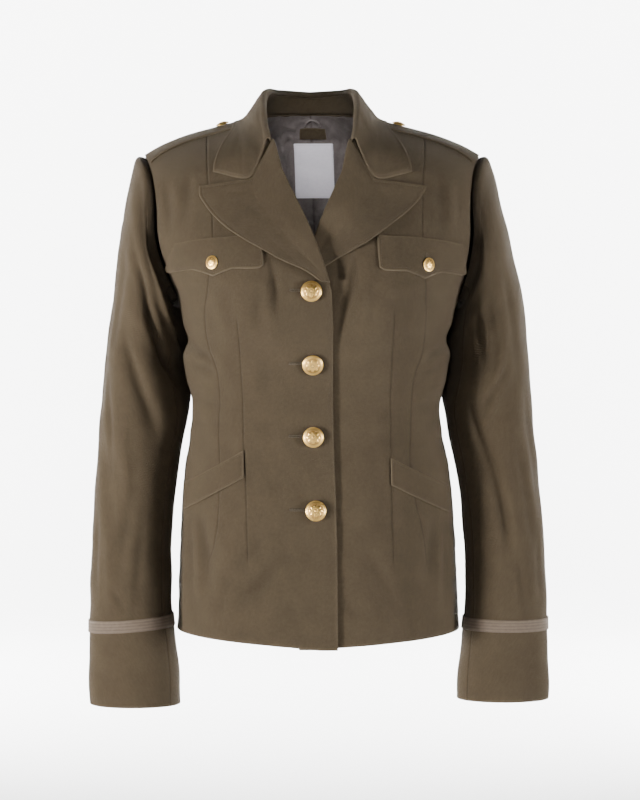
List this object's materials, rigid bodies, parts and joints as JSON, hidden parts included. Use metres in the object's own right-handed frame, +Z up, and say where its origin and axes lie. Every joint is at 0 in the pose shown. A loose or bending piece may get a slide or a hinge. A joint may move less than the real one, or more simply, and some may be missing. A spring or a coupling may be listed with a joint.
{
  "type": "wool jacket",
  "caption": "Tailored single-breasted wool jacket with notched collar, peaked flaps, slanted welts, shoulder straps and braided cuffs, filled out with no wearer.",
  "frame": {"origin": "on the middle line, level with the top of the shoulder beside the neck, where the wearer's shoulders hold the jacket", "axes": "+Z up along the jacket's length, -Y towards the front, +X towards the wearer's left"},
  "size_m": [0.5118, 0.2658, 0.6835],
  "materials": {
    "wool": "olive drab wool twill",
    "lining": "grey-brown satin",
    "braid": "taupe flat braid",
    "brass": "polished gilt",
    "label": "pale woven label"
  },
  "bodies": {
    "root": {"front_right": "wool", "back_right": "wool", "sleeve_top_right": "wool", "sleeve_under_right": "wool", "cuff_braid_right": "braid", "lapel_right": "wool", "chest_flap_right": "wool", "pocket_welt_right": "wool", "shoulder_strap_right": "wool", "lining_back_right": "lining", "flap_button_right": "brass", "strap_button_right": "brass", "front_left": "wool", "back_left": "wool", "sleeve_top_left": "wool", "sleeve_under_left": "wool", "cuff_braid_left": "braid", "lapel_left": "wool", "chest_flap_left": "wool", "pocket_welt_left": "wool", "shoulder_strap_left": "wool", "lining_back_left": "lining", "flap_button_left": "brass", "strap_button_left": "brass", "front_button_1": "brass", "front_button_2": "brass", "front_button_3": "brass", "front_button_4": "brass", "collar_stand": "wool", "collar_leaf": "wool", "neck_patch": "wool", "label": "label", "hanger_loop": "lining"}
  },
  "joints": []
}
